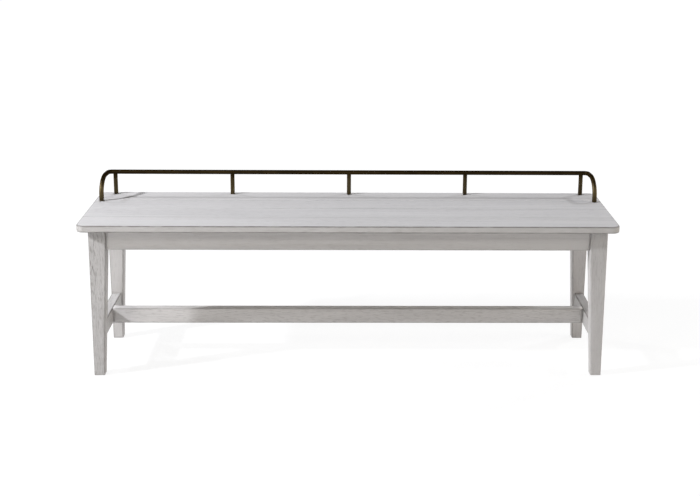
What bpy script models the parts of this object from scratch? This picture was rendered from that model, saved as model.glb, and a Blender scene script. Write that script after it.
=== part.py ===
"""Dining bench: a four-board seat on a frame of tapered legs, with a low metal gallery rail.

Metres, +Z up, +X along the seat, +Y to the back. The origin is on the floor under the seat's centre.
"""

import math

import bmesh
import bpy
from mathutils import Matrix, Vector

# Fits
CLEARANCE = 0.0003
OVERSHOOT = 0.004

# Seat
SEAT_LENGTH = 1.525
SEAT_DEPTH = 0.390
SEAT_HEIGHT = 0.457
SEAT_THICKNESS = 0.020
SEAT_CORNER_RADIUS = 0.022
SEAT_EDGE_EASE = 0.003
BOARD_COUNT = 4
BOARD_JOINT_EASE = 0.0010
TONGUE_DEPTH = 0.007
TONGUE_THICKNESS = 0.006

# Legs
SEAT_END_OVERHANG = 0.029
SEAT_SIDE_OVERHANG = 0.029
LEG_TOP_WIDTH = 0.048
LEG_FOOT_WIDTH = 0.0305
LEG_EDGE_EASE = 0.002
LEG_BOLT_FLAT = 0.008

# Aprons
APRON_HEIGHT = 0.060
APRON_THICKNESS = 0.020
APRON_SETBACK = 0.008
APRON_EDGE_EASE = 0.0015
APRON_TENON_LENGTH = 0.014
APRON_TENON_THICKNESS = 0.008
APRON_TENON_SHOULDER = 0.010

# Stretchers
STRETCHER_TOP_HEIGHT = 0.1515
STRETCHER_DEPTH = 0.046
STRETCHER_EDGE_EASE = 0.002
SIDE_STRETCHER_WIDTH = 0.028
SIDE_STRETCHER_SETBACK = 0.0025
LONG_STRETCHER_WIDTH = 0.027
STRETCHER_TENON_LENGTH = 0.012
STRETCHER_TENON_THICKNESS = 0.012
STRETCHER_TENON_SHOULDER = 0.008

# Cross rails under the seat
CROSS_RAIL_SPACING = 0.500
CROSS_RAIL_WIDTH = 0.032
CROSS_RAIL_HEIGHT = 0.040
CROSS_RAIL_EDGE_EASE = 0.0015
CROSS_RAIL_TENON_LENGTH = 0.008
CROSS_RAIL_TENON_SHOULDER = 0.007

# Corner blocks and their bolts
CORNER_BLOCK_THICKNESS = 0.022
CORNER_BLOCK_HEIGHT = 0.042
CORNER_BLOCK_DROP = 0.006
BOLT_DIAMETER = 0.006
BOLT_DEPTH_IN_LEG = 0.022
BOLT_TAIL = 0.005
WASHER_DIAMETER = 0.018
WASHER_THICKNESS = 0.0015
NUT_ACROSS_FLATS = 0.010
NUT_HEIGHT = 0.005

# Seat screws
SEAT_SCREW_DIAMETER = 0.0045
SEAT_SCREW_HEAD_DIAMETER = 0.0085
SEAT_SCREW_HEAD_HEIGHT = 0.003
SEAT_SCREW_RAIL_WOOD = 0.022
SEAT_SCREW_TIP_COVER = 0.006
SEAT_SCREW_TIP_LENGTH = 0.005

# Gallery rail
RAIL_DIAMETER = 0.0135
RAIL_AXIS_HEIGHT = 0.069
RAIL_BACK_INSET = 0.023
RAIL_FOOT_INSET = 0.0215
RAIL_RETURN = 0.088
RAIL_RETURN_SPLAY = 0.007
RAIL_FOOT_BEND_RADIUS = 0.051
RAIL_CORNER_BEND_RADIUS = 0.012
POST_COUNT = 5
POST_DIAMETER = 0.0127
POST_TO_BEND = 0.002

# Rail screws
RAIL_SCREW_DIAMETER = 0.005
RAIL_SCREW_HEAD_DIAMETER = 0.009
RAIL_SCREW_HEAD_HEIGHT = 0.0035
RAIL_SCREW_SEAT_WOOD = 0.012
RAIL_SCREW_THREAD = 0.016

# Foot glides
GLIDE_DIAMETER = 0.019
GLIDE_THICKNESS = 0.0015
GLIDE_EDGE_EASE = 0.0006
GLIDE_NAIL_DIAMETER = 0.004
GLIDE_NAIL_LENGTH = 0.014

# Shares of a screw's radius and of its head's height
SCREW_CROWN_SHARE = 0.7
SCREW_RIM_SHARE = 0.5
SCREW_TIP_SHARE = 0.3

# Facets and tolerances of the meshes
ROUND_SIDES = 16
SMALL_ROUND_SIDES = 12
BEND_STEPS = 10
CORNER_STEPS = 6
EASE_STEPS = 2
NUT_SIDES = 6
SMOOTH_ANGLE = math.radians(35)
PARALLEL_COSINE = 0.98
ROUND_PROFILE = 0.5
MERGE_DISTANCE = 0.00001

# Levels and faces worked out from the sizes above
SEAT_UNDERSIDE = SEAT_HEIGHT - SEAT_THICKNESS
BOARD_WIDTH = SEAT_DEPTH / BOARD_COUNT
FRAME_TOP = SEAT_UNDERSIDE - CLEARANCE
APRON_BOTTOM = FRAME_TOP - APRON_HEIGHT
LEG_BOTTOM = GLIDE_THICKNESS + CLEARANCE
LEG_OUTER_X = SEAT_LENGTH / 2 - SEAT_END_OVERHANG
LEG_OUTER_Y = SEAT_DEPTH / 2 - SEAT_SIDE_OVERHANG
APRON_INNER = APRON_SETBACK + APRON_THICKNESS
CORNER_BLOCK_TOP = FRAME_TOP - CORNER_BLOCK_DROP
CORNER_BLOCK_BOTTOM = CORNER_BLOCK_TOP - CORNER_BLOCK_HEIGHT
BOLT_AXIS_Z = (CORNER_BLOCK_TOP + CORNER_BLOCK_BOTTOM) / 2
STRETCHER_BOTTOM_HEIGHT = STRETCHER_TOP_HEIGHT - STRETCHER_DEPTH
SIDE_STRETCHER_OUTER_X = LEG_OUTER_X - SIDE_STRETCHER_SETBACK
SIDE_STRETCHER_INNER_X = SIDE_STRETCHER_OUTER_X - SIDE_STRETCHER_WIDTH
SIDE_STRETCHER_MIDDLE_X = (SIDE_STRETCHER_OUTER_X + SIDE_STRETCHER_INNER_X) / 2
RAIL_RADIUS = RAIL_DIAMETER / 2
RAIL_AXIS_Z = SEAT_HEIGHT + RAIL_AXIS_HEIGHT
RAIL_AXIS_Y = SEAT_DEPTH / 2 - RAIL_BACK_INSET
RAIL_FOOT_X = SEAT_LENGTH / 2 - RAIL_FOOT_INSET
RAIL_FOOT_Y = RAIL_AXIS_Y - RAIL_RETURN
RAIL_CORNER_X = RAIL_FOOT_X - RAIL_RETURN_SPLAY
END_POST_X = RAIL_CORNER_X - RAIL_CORNER_BEND_RADIUS - POST_DIAMETER / 2 - POST_TO_BEND

LEFT_RIGHT = (("left", -1), ("right", 1))
FRONT_BACK = (("front", -1), ("back", 1))


# Modelling helpers

def clear_scene():
    for obj in list(bpy.data.objects):
        bpy.data.objects.remove(obj, do_unlink=True)


def make_material(name, colour, roughness, metallic):
    material = bpy.data.materials.new(name)
    material.use_nodes = True
    shader = material.node_tree.nodes["Principled BSDF"]
    shader.inputs["Base Color"].default_value = (*colour, 1.0)
    shader.inputs["Roughness"].default_value = roughness
    shader.inputs["Metallic"].default_value = metallic
    material.diffuse_color = (*colour, 1.0)
    return material


def make_object(name, shape, material=None):
    bmesh.ops.recalc_face_normals(shape, faces=shape.faces)
    mesh = bpy.data.meshes.new(name)
    shape.to_mesh(mesh)
    shape.free()
    obj = bpy.data.objects.new(name, mesh)
    bpy.context.collection.objects.link(obj)
    if material:
        mesh.materials.append(material)
    return obj


def combine(obj, tool_shape, operation):
    """Boolean a shape into an object, and keep the result as the object's own mesh."""
    tool = make_object("tool", tool_shape)
    tool.hide_render = True
    tool.display_type = "WIRE"
    modifier = obj.modifiers.new("combine", "BOOLEAN")
    modifier.operation = operation
    modifier.solver = "EXACT"
    modifier.object = tool
    evaluated = obj.evaluated_get(bpy.context.evaluated_depsgraph_get())
    result = bpy.data.meshes.new_from_object(evaluated)
    obj.modifiers.clear()
    old_mesh = obj.data
    obj.data = result
    bpy.data.meshes.remove(old_mesh)
    result.name = obj.name
    bpy.data.objects.remove(tool, do_unlink=True)


def add(obj, shape):
    combine(obj, shape, "UNION")


def cut(obj, shape):
    combine(obj, shape, "DIFFERENCE")


def smooth(obj):
    obj.data.shade_smooth()
    obj.data.set_sharp_from_angle(angle=SMOOTH_ANGLE)


def block(corner_a, corner_b, grow=0.0):
    """Box between two opposite corners, given in any order, grown on every side."""
    low = Vector([min(pair) - grow for pair in zip(corner_a, corner_b)])
    high = Vector([max(pair) + grow for pair in zip(corner_a, corner_b)])
    shape = bmesh.new()
    bmesh.ops.create_cube(shape, size=1.0)
    bmesh.ops.scale(shape, vec=high - low, verts=shape.verts)
    bmesh.ops.translate(shape, vec=(low + high) / 2, verts=shape.verts)
    return shape


def ease_edges(shape, axis, width, steps=EASE_STEPS):
    """Round the edges that run along an axis."""
    edges = []
    for edge in shape.edges:
        direction = (edge.verts[1].co - edge.verts[0].co).normalized()
        if abs(direction[axis]) > PARALLEL_COSINE:
            edges.append(edge)
    bmesh.ops.bevel(shape, geom=edges, offset=width, offset_type="OFFSET", segments=steps,
                    profile=ROUND_PROFILE, affect="EDGES", clamp_overlap=True)


def prism(outline, direction):
    """Extrude a closed outline of points along a vector."""
    shape = bmesh.new()
    face = shape.faces.new([shape.verts.new(point) for point in outline])
    extruded = bmesh.ops.extrude_face_region(shape, geom=[face])
    moved = [item for item in extruded["geom"] if isinstance(item, bmesh.types.BMVert)]
    bmesh.ops.translate(shape, vec=Vector(direction), verts=moved)
    return shape


def turned(profile, foot, direction, sides=ROUND_SIDES, ring=False):
    """Turn a profile of (radius, height) points about an axis that starts at foot.

    A profile that starts and ends at radius 0 gives a solid, and a ring joins its end to its start.
    """
    shape = bmesh.new()
    points = [shape.verts.new((radius, 0.0, height)) for radius, height in profile]
    for first, second in zip(points, points[1:]):
        shape.edges.new((first, second))
    if ring:
        shape.edges.new((points[-1], points[0]))
    bmesh.ops.spin(shape, geom=shape.verts[:] + shape.edges[:], cent=(0, 0, 0), axis=(0, 0, 1),
                   dvec=(0, 0, 0), angle=2 * math.pi, steps=sides, use_merge=True)
    bmesh.ops.remove_doubles(shape, verts=shape.verts, dist=MERGE_DISTANCE)
    turn = Vector(direction).to_track_quat("Z", "Y").to_matrix().to_4x4()
    bmesh.ops.transform(shape, matrix=Matrix.Translation(Vector(foot)) @ turn, verts=shape.verts)
    return shape


def rod(foot, direction, length, radius, sides=ROUND_SIDES):
    return turned([(0, 0), (radius, 0), (radius, length), (0, length)], foot, direction, sides)


def sweep(path, radius, side_vector, sides=ROUND_SIDES):
    """Round bar along a path, with its facets carried round the bends without twist."""
    shape = bmesh.new()
    rings = []
    normal = Vector(side_vector)
    for index, point in enumerate(path):
        before = path[max(index - 1, 0)]
        after = path[min(index + 1, len(path) - 1)]
        tangent = (after - before).normalized()
        normal = (normal - tangent * normal.dot(tangent)).normalized()
        binormal = tangent.cross(normal)
        ring = []
        for side in range(sides):
            angle = 2 * math.pi * side / sides
            outward = normal * math.cos(angle) + binormal * math.sin(angle)
            ring.append(shape.verts.new(point + radius * outward))
        rings.append(ring)
    for ring, following in zip(rings, rings[1:]):
        for side in range(sides):
            other = (side + 1) % sides
            shape.faces.new((ring[side], ring[other], following[other], following[side]))
    shape.faces.new(rings[0])
    shape.faces.new(rings[-1])
    return shape


# Seat boards

def seat_envelope():
    """The whole seat as one slab: rounded plan corners and eased top and bottom edges."""
    half_length = SEAT_LENGTH / 2
    half_depth = SEAT_DEPTH / 2
    shape = block((-half_length, -half_depth, SEAT_UNDERSIDE), (half_length, half_depth, SEAT_HEIGHT))
    ease_edges(shape, 2, SEAT_CORNER_RADIUS, CORNER_STEPS)
    rims = []
    for edge in shape.edges:
        heights = [vert.co.z for vert in edge.verts]
        if abs(heights[0] - heights[1]) < CLEARANCE:
            rims.append(edge)
    bmesh.ops.bevel(shape, geom=rims, offset=SEAT_EDGE_EASE, offset_type="OFFSET", segments=EASE_STEPS,
                    profile=ROUND_PROFILE, affect="EDGES", clamp_overlap=True)
    return shape


def board_profile(index):
    """Cross-section of one board: a tongue on its back edge, a groove in its front edge."""
    is_first = index == 0
    is_last = index == BOARD_COUNT - 1
    front = -SEAT_DEPTH / 2 + index * BOARD_WIDTH + CLEARANCE / 2
    back = front + BOARD_WIDTH - CLEARANCE
    bottom = SEAT_UNDERSIDE
    top = SEAT_HEIGHT
    middle = (bottom + top) / 2
    tongue_low = middle - TONGUE_THICKNESS / 2
    tongue_high = middle + TONGUE_THICKNESS / 2
    points = []
    if is_first:
        front -= OVERSHOOT
        points += [(front, top + OVERSHOOT), (front, bottom - OVERSHOOT)]
    else:
        groove_end = front + TONGUE_DEPTH
        points += [(front + BOARD_JOINT_EASE + OVERSHOOT, top + OVERSHOOT),
                   (front, top - BOARD_JOINT_EASE),
                   (front, tongue_high + CLEARANCE),
                   (groove_end, tongue_high + CLEARANCE),
                   (groove_end, tongue_low - CLEARANCE),
                   (front, tongue_low - CLEARANCE),
                   (front, bottom - OVERSHOOT)]
    if is_last:
        back += OVERSHOOT
        points += [(back, bottom - OVERSHOOT), (back, top + OVERSHOOT)]
    else:
        tongue_end = back + TONGUE_DEPTH
        points += [(back, bottom - OVERSHOOT),
                   (back, tongue_low),
                   (tongue_end, tongue_low),
                   (tongue_end, tongue_high),
                   (back, tongue_high),
                   (back, top - BOARD_JOINT_EASE),
                   (back - BOARD_JOINT_EASE - OVERSHOOT, top + OVERSHOOT)]
    return points


def build_seat_boards(material):
    """Boards numbered from front to back."""
    boards = []
    end = SEAT_LENGTH / 2 + OVERSHOOT
    for index in range(BOARD_COUNT):
        outline = [(-end, y, z) for y, z in board_profile(index)]
        board = make_object(f"seat_board_{index + 1}", prism(outline, (2 * end, 0, 0)), material)
        combine(board, seat_envelope(), "INTERSECT")
        boards.append(board)
    return boards


def boards_within(boards, y, reach):
    """Boards whose body or tongue comes within reach of a place across the seat."""
    found = []
    for index, board in enumerate(boards):
        front = -SEAT_DEPTH / 2 + index * BOARD_WIDTH
        if front - reach < y < front + BOARD_WIDTH + TONGUE_DEPTH + reach:
            found.append(board)
    return found


# Legs

def leg_width_at(z):
    """Width of the square leg at a height: straight beside the aprons, tapered below them."""
    if z >= APRON_BOTTOM:
        return LEG_TOP_WIDTH
    share = (z - LEG_BOTTOM) / (APRON_BOTTOM - LEG_BOTTOM)
    return LEG_FOOT_WIDTH + (LEG_TOP_WIDTH - LEG_FOOT_WIDTH) * share


def build_leg(name, side_x, side_y, material):
    """A square leg whose outer faces stand upright, with the taper on its two inner faces."""
    outer = Vector((side_x * LEG_OUTER_X, side_y * LEG_OUTER_Y, 0))
    inner = outer - Vector((side_x * LEG_TOP_WIDTH, side_y * LEG_TOP_WIDTH, 0))
    shape = block((outer.x, outer.y, LEG_BOTTOM), (inner.x, inner.y, FRAME_TOP))
    bmesh.ops.bisect_plane(shape, geom=shape.verts[:] + shape.edges[:] + shape.faces[:],
                           plane_co=(0, 0, APRON_BOTTOM), plane_no=(0, 0, 1))
    taper = LEG_TOP_WIDTH - LEG_FOOT_WIDTH
    for vert in shape.verts:
        if vert.co.z > LEG_BOTTOM + CLEARANCE:
            continue
        if abs(vert.co.x - inner.x) < CLEARANCE:
            vert.co.x += side_x * taper
        if abs(vert.co.y - inner.y) < CLEARANCE:
            vert.co.y += side_y * taper
    ease_edges(shape, 2, LEG_EDGE_EASE)
    leg = make_object(name, shape, material)
    cut(leg, bolt_flat_cutter(side_x, side_y))
    return leg


def corner_point(side_x, side_y, inset_x, inset_y, z):
    """Point at given distances inside a leg's two outer faces."""
    return Vector((side_x * (LEG_OUTER_X - inset_x), side_y * (LEG_OUTER_Y - inset_y), z))


def bolt_flat_cutter(side_x, side_y):
    """Cuts the flat on the leg's inner corner that the corner block's bolt draws up against."""
    low = CORNER_BLOCK_BOTTOM - CLEARANCE
    edge = LEG_TOP_WIDTH - LEG_BOLT_FLAT - OVERSHOOT
    far = LEG_TOP_WIDTH + OVERSHOOT
    outline = [corner_point(side_x, side_y, far, edge, low),
               corner_point(side_x, side_y, far, far, low),
               corner_point(side_x, side_y, edge, far, low)]
    return prism(outline, (0, 0, FRAME_TOP + OVERSHOOT - low))


# Aprons, stretchers and cross rails

def tenon(start, end, width_axis, width, low, high):
    """Corners of a tenon that runs from start to end, with its width across width_axis."""
    across = Vector((0, 0, 0))
    across[width_axis] = width / 2
    corner_a = Vector((start.x, start.y, low)) - across
    corner_b = Vector((end.x, end.y, high)) + across
    return corner_a, corner_b


def build_long_apron(name, side_y, legs, material):
    outer_y = side_y * (LEG_OUTER_Y - APRON_SETBACK)
    inner_y = side_y * (LEG_OUTER_Y - APRON_INNER)
    shoulder = LEG_OUTER_X - LEG_TOP_WIDTH - CLEARANCE
    shape = block((-shoulder, outer_y, APRON_BOTTOM), (shoulder, inner_y, FRAME_TOP))
    ease_edges(shape, 0, APRON_EDGE_EASE)
    apron = make_object(name, shape, material)
    middle_y = (outer_y + inner_y) / 2
    for side_name, side_x in LEFT_RIGHT:
        root = Vector((side_x * (shoulder - OVERSHOOT), middle_y, 0))
        tip = Vector((side_x * (shoulder + APRON_TENON_LENGTH), middle_y, 0))
        corners = tenon(root, tip, 1, APRON_TENON_THICKNESS,
                        APRON_BOTTOM + APRON_TENON_SHOULDER, FRAME_TOP - APRON_TENON_SHOULDER)
        add(apron, block(*corners))
        cut(legs[side_x, side_y], block(*corners, grow=CLEARANCE))
    return apron


def build_side_apron(name, side_x, legs, material):
    outer_x = side_x * (LEG_OUTER_X - APRON_SETBACK)
    inner_x = side_x * (LEG_OUTER_X - APRON_INNER)
    shoulder = LEG_OUTER_Y - LEG_TOP_WIDTH - CLEARANCE
    shape = block((outer_x, -shoulder, APRON_BOTTOM), (inner_x, shoulder, FRAME_TOP))
    ease_edges(shape, 1, APRON_EDGE_EASE)
    apron = make_object(name, shape, material)
    middle_x = (outer_x + inner_x) / 2
    for end_name, side_y in FRONT_BACK:
        root = Vector((middle_x, side_y * (shoulder - OVERSHOOT), 0))
        tip = Vector((middle_x, side_y * (shoulder + APRON_TENON_LENGTH), 0))
        corners = tenon(root, tip, 0, APRON_TENON_THICKNESS,
                        APRON_BOTTOM + APRON_TENON_SHOULDER, FRAME_TOP - APRON_TENON_SHOULDER)
        add(apron, block(*corners))
        cut(legs[side_x, side_y], block(*corners, grow=CLEARANCE))
    return apron


def build_side_stretcher(name, side_x, legs, material):
    """Runs from front leg to back leg, with its shoulders cut to the slope of the legs' inner faces."""
    shoulder = LEG_OUTER_Y - leg_width_at(STRETCHER_BOTTOM_HEIGHT) - CLEARANCE
    shape = block((side_x * SIDE_STRETCHER_OUTER_X, -shoulder, STRETCHER_BOTTOM_HEIGHT),
                  (side_x * SIDE_STRETCHER_INNER_X, shoulder, STRETCHER_TOP_HEIGHT))
    top_shoulder = LEG_OUTER_Y - leg_width_at(STRETCHER_TOP_HEIGHT) - CLEARANCE
    for vert in shape.verts:
        if vert.co.z > STRETCHER_TOP_HEIGHT - CLEARANCE:
            vert.co.y = math.copysign(top_shoulder, vert.co.y)
    ease_edges(shape, 1, STRETCHER_EDGE_EASE)
    stretcher = make_object(name, shape, material)
    middle_x = side_x * SIDE_STRETCHER_MIDDLE_X
    for end_name, side_y in FRONT_BACK:
        root = Vector((middle_x, side_y * (top_shoulder - OVERSHOOT), 0))
        tip = Vector((middle_x, side_y * (shoulder + STRETCHER_TENON_LENGTH), 0))
        corners = tenon(root, tip, 0, STRETCHER_TENON_THICKNESS,
                        STRETCHER_BOTTOM_HEIGHT + STRETCHER_TENON_SHOULDER,
                        STRETCHER_TOP_HEIGHT - STRETCHER_TENON_SHOULDER)
        add(stretcher, block(*corners))
        cut(legs[side_x, side_y], block(*corners, grow=CLEARANCE))
    return stretcher


def build_long_stretcher(side_stretchers, material):
    half_width = LONG_STRETCHER_WIDTH / 2
    shoulder = SIDE_STRETCHER_INNER_X - CLEARANCE
    shape = block((-shoulder, -half_width, STRETCHER_BOTTOM_HEIGHT),
                  (shoulder, half_width, STRETCHER_TOP_HEIGHT))
    ease_edges(shape, 0, STRETCHER_EDGE_EASE)
    stretcher = make_object("long_stretcher", shape, material)
    for side_name, side_x in LEFT_RIGHT:
        root = Vector((side_x * (shoulder - OVERSHOOT), 0, 0))
        tip = Vector((side_x * (shoulder + STRETCHER_TENON_LENGTH), 0, 0))
        corners = tenon(root, tip, 1, STRETCHER_TENON_THICKNESS,
                        STRETCHER_BOTTOM_HEIGHT + STRETCHER_TENON_SHOULDER,
                        STRETCHER_TOP_HEIGHT - STRETCHER_TENON_SHOULDER)
        add(stretcher, block(*corners))
        cut(side_stretchers[side_x], block(*corners, grow=CLEARANCE))
    return stretcher


def build_cross_rail(name, x, aprons, material):
    half_width = CROSS_RAIL_WIDTH / 2
    low = FRAME_TOP - CROSS_RAIL_HEIGHT
    shoulder = LEG_OUTER_Y - APRON_INNER - CLEARANCE
    shape = block((x - half_width, -shoulder, low), (x + half_width, shoulder, FRAME_TOP))
    ease_edges(shape, 1, CROSS_RAIL_EDGE_EASE)
    rail = make_object(name, shape, material)
    for end_name, side_y in FRONT_BACK:
        root = Vector((x, side_y * (shoulder - OVERSHOOT), 0))
        tip = Vector((x, side_y * (shoulder + CROSS_RAIL_TENON_LENGTH), 0))
        corners = tenon(root, tip, 0, CROSS_RAIL_WIDTH - 2 * CROSS_RAIL_TENON_SHOULDER,
                        low + CROSS_RAIL_TENON_SHOULDER, FRAME_TOP - CROSS_RAIL_TENON_SHOULDER)
        add(rail, block(*corners))
        cut(aprons[side_y], block(*corners, grow=CLEARANCE))
    return rail


# Corner blocks with their hanger bolts, washers and nuts

def build_corner_fixing(corner, side_x, side_y, legs, wood, steel):
    """Block across the corner, drawn against the leg's flat by a bolt at 45 degrees."""
    inward = Vector((-side_x, -side_y, 0)).normalized()
    flat_inset = LEG_TOP_WIDTH - LEG_BOLT_FLAT / 2
    seat_inset = flat_inset + CLEARANCE
    face_inset = seat_inset + CORNER_BLOCK_THICKNESS / math.sqrt(2)
    end = APRON_INNER + CLEARANCE
    outline = [corner_point(side_x, side_y, 2 * seat_inset - end, end, CORNER_BLOCK_BOTTOM),
               corner_point(side_x, side_y, 2 * face_inset - end, end, CORNER_BLOCK_BOTTOM),
               corner_point(side_x, side_y, end, 2 * face_inset - end, CORNER_BLOCK_BOTTOM),
               corner_point(side_x, side_y, end, 2 * seat_inset - end, CORNER_BLOCK_BOTTOM)]
    corner_block = make_object(corner + "_corner_block", prism(outline, (0, 0, CORNER_BLOCK_HEIGHT)), wood)

    flat = corner_point(side_x, side_y, flat_inset, flat_inset, BOLT_AXIS_Z)
    face = corner_point(side_x, side_y, face_inset, face_inset, BOLT_AXIS_Z)
    washer_foot = face + inward * CLEARANCE
    nut_foot = washer_foot + inward * (WASHER_THICKNESS + CLEARANCE)
    bolt_foot = flat - inward * BOLT_DEPTH_IN_LEG
    bolt_end = nut_foot + inward * (NUT_HEIGHT + BOLT_TAIL)
    bolt_length = (bolt_end - bolt_foot).length
    radius = BOLT_DIAMETER / 2
    hole = radius + CLEARANCE
    hole_foot = bolt_foot - inward * CLEARANCE
    hole_length = bolt_length + OVERSHOOT

    bolt_profile = [(0, 0), (radius / 2, 0), (radius, radius), (radius, bolt_length - radius / 2),
                    (radius / 2, bolt_length), (0, bolt_length)]
    bolt_shape = turned(bolt_profile, bolt_foot, inward, SMALL_ROUND_SIDES)
    bolt = make_object(corner + "_hanger_bolt", bolt_shape, steel)
    washer_profile = [(hole, 0), (WASHER_DIAMETER / 2, 0), (WASHER_DIAMETER / 2, WASHER_THICKNESS),
                      (hole, WASHER_THICKNESS)]
    washer = make_object(corner + "_washer", turned(washer_profile, washer_foot, inward, ring=True), steel)
    nut_radius = NUT_ACROSS_FLATS / 2 / math.cos(math.pi / NUT_SIDES)
    nut = make_object(corner + "_nut", rod(nut_foot, inward, NUT_HEIGHT, nut_radius, NUT_SIDES), steel)
    for drilled in (legs[side_x, side_y], corner_block, nut):
        cut(drilled, rod(hole_foot, inward, hole_length, hole, SMALL_ROUND_SIDES))
    for round_piece in (bolt, washer):
        smooth(round_piece)


# Screws and glides

def screw_profile(head_radius, head_height, shank_radius, length, tip_length):
    """Outline of a screw that points up, with its domed head below its seat at height 0."""
    return [(0, -head_height),
            (head_radius * SCREW_CROWN_SHARE, -head_height),
            (head_radius, -head_height * SCREW_RIM_SHARE),
            (head_radius, 0),
            (shank_radius, 0),
            (shank_radius, length - tip_length),
            (shank_radius * SCREW_TIP_SHARE, length),
            (0, length)]


def counterbore(x, y, mouth_z, seat_z, end_z, head_radius, shank_radius):
    """Stepped hole, drilled upwards: wide for the head, then narrow for the shank."""
    step = seat_z - mouth_z
    depth = end_z - mouth_z
    profile = [(0, 0), (head_radius, 0), (head_radius, step),
               (shank_radius, step), (shank_radius, depth), (0, depth)]
    return turned(profile, (x, y, mouth_z), (0, 0, 1), SMALL_ROUND_SIDES)


def screw_place_on_board(index):
    """Middle of the part of a board that lies over the cross rails."""
    rail_end = LEG_OUTER_Y - APRON_INNER
    front = -SEAT_DEPTH / 2 + index * BOARD_WIDTH
    return (max(front, -rail_end) + min(front + BOARD_WIDTH, rail_end)) / 2


def build_seat_screws(cross_rails, boards, steel):
    """One screw for each board at each cross rail, up through the rail and into the board."""
    up = (0, 0, 1)
    shank = SEAT_SCREW_DIAMETER / 2
    head = SEAT_SCREW_HEAD_DIAMETER / 2
    seat_z = FRAME_TOP - SEAT_SCREW_RAIL_WOOD
    tip_z = SEAT_HEIGHT - SEAT_SCREW_TIP_COVER
    length = tip_z - seat_z - CLEARANCE
    mouth = FRAME_TOP - CROSS_RAIL_HEIGHT - OVERSHOOT
    profile = screw_profile(head, SEAT_SCREW_HEAD_HEIGHT, shank, length, SEAT_SCREW_TIP_LENGTH)
    for side_name, side_x in LEFT_RIGHT:
        x = side_x * CROSS_RAIL_SPACING / 2
        for index, board in enumerate(boards):
            y = screw_place_on_board(index)
            foot = (x, y, seat_z - CLEARANCE)
            name = f"{side_name}_seat_screw_{index + 1}"
            smooth(make_object(name, turned(profile, foot, up, SMALL_ROUND_SIDES), steel))
            hole = counterbore(x, y, mouth, seat_z, tip_z + CLEARANCE, head + CLEARANCE, shank + CLEARANCE)
            cut(board, hole.copy())
            cut(cross_rails[side_x], hole)


def build_rail_screw(name, x, y, boards, drilled, steel):
    """Screw from beneath the seat, through a counterbored hole and up into a post or a rail foot."""
    up = (0, 0, 1)
    shank = RAIL_SCREW_DIAMETER / 2
    head = RAIL_SCREW_HEAD_DIAMETER / 2
    seat_z = SEAT_HEIGHT - RAIL_SCREW_SEAT_WOOD
    length = RAIL_SCREW_SEAT_WOOD + RAIL_SCREW_THREAD
    foot = (x, y, seat_z - CLEARANCE)
    profile = screw_profile(head, RAIL_SCREW_HEAD_HEIGHT, shank, length, shank)
    smooth(make_object(name, turned(profile, foot, up, SMALL_ROUND_SIDES), steel))
    mouth = SEAT_UNDERSIDE - OVERSHOOT
    end = seat_z + length + CLEARANCE
    hole = counterbore(x, y, mouth, seat_z, end, head + CLEARANCE, shank + CLEARANCE)
    for board in boards_within(boards, y, head + CLEARANCE):
        cut(board, hole.copy())
    cut(drilled, hole)


def build_glide(name, side_x, side_y, leg, plastic):
    """Round glide under a leg, held by its own nail."""
    middle = corner_point(side_x, side_y, LEG_FOOT_WIDTH / 2, LEG_FOOT_WIDTH / 2, 0)
    radius = GLIDE_DIAMETER / 2
    nail = GLIDE_NAIL_DIAMETER / 2
    top = GLIDE_THICKNESS + GLIDE_NAIL_LENGTH
    profile = [(0, 0), (radius - GLIDE_EDGE_EASE, 0), (radius, GLIDE_EDGE_EASE), (radius, GLIDE_THICKNESS),
               (nail, GLIDE_THICKNESS), (nail, top - nail), (0, top)]
    smooth(make_object(name, turned(profile, middle, (0, 0, 1)), plastic))
    hole_length = top + CLEARANCE + OVERSHOOT
    hole_foot = middle - Vector((0, 0, OVERSHOOT))
    cut(leg, rod(hole_foot, (0, 0, 1), hole_length, nail + CLEARANCE, SMALL_ROUND_SIDES))


# Gallery rail

def bend_points(before, corner, after, radius):
    """Points of the arc that rounds the corner between two straight runs."""
    arriving = (corner - before).normalized()
    leaving = (after - corner).normalized()
    turn = arriving.angle(leaving)
    start = corner - arriving * radius * math.tan(turn / 2)
    inward = (leaving - arriving * arriving.dot(leaving)).normalized()
    centre = start + inward * radius
    points = []
    for step in range(BEND_STEPS + 1):
        angle = turn * step / BEND_STEPS
        points.append(centre + radius * (arriving * math.sin(angle) - inward * math.cos(angle)))
    return points


def rail_half_path(side_x):
    """From one foot up, back and a little inwards, and round the corner to the straight back run."""
    foot = Vector((side_x * RAIL_FOOT_X, RAIL_FOOT_Y, SEAT_HEIGHT + CLEARANCE))
    shoulder = Vector((foot.x, foot.y, RAIL_AXIS_Z))
    corner = Vector((side_x * RAIL_CORNER_X, RAIL_AXIS_Y, RAIL_AXIS_Z))
    middle = Vector((0, RAIL_AXIS_Y, RAIL_AXIS_Z))
    path = [foot]
    path += bend_points(foot, shoulder, corner, RAIL_FOOT_BEND_RADIUS)
    path += bend_points(shoulder, corner, middle, RAIL_CORNER_BEND_RADIUS)
    return path


def post_places():
    spacing = 2 * END_POST_X / (POST_COUNT - 1)
    return [-END_POST_X + number * spacing for number in range(POST_COUNT)]


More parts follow.
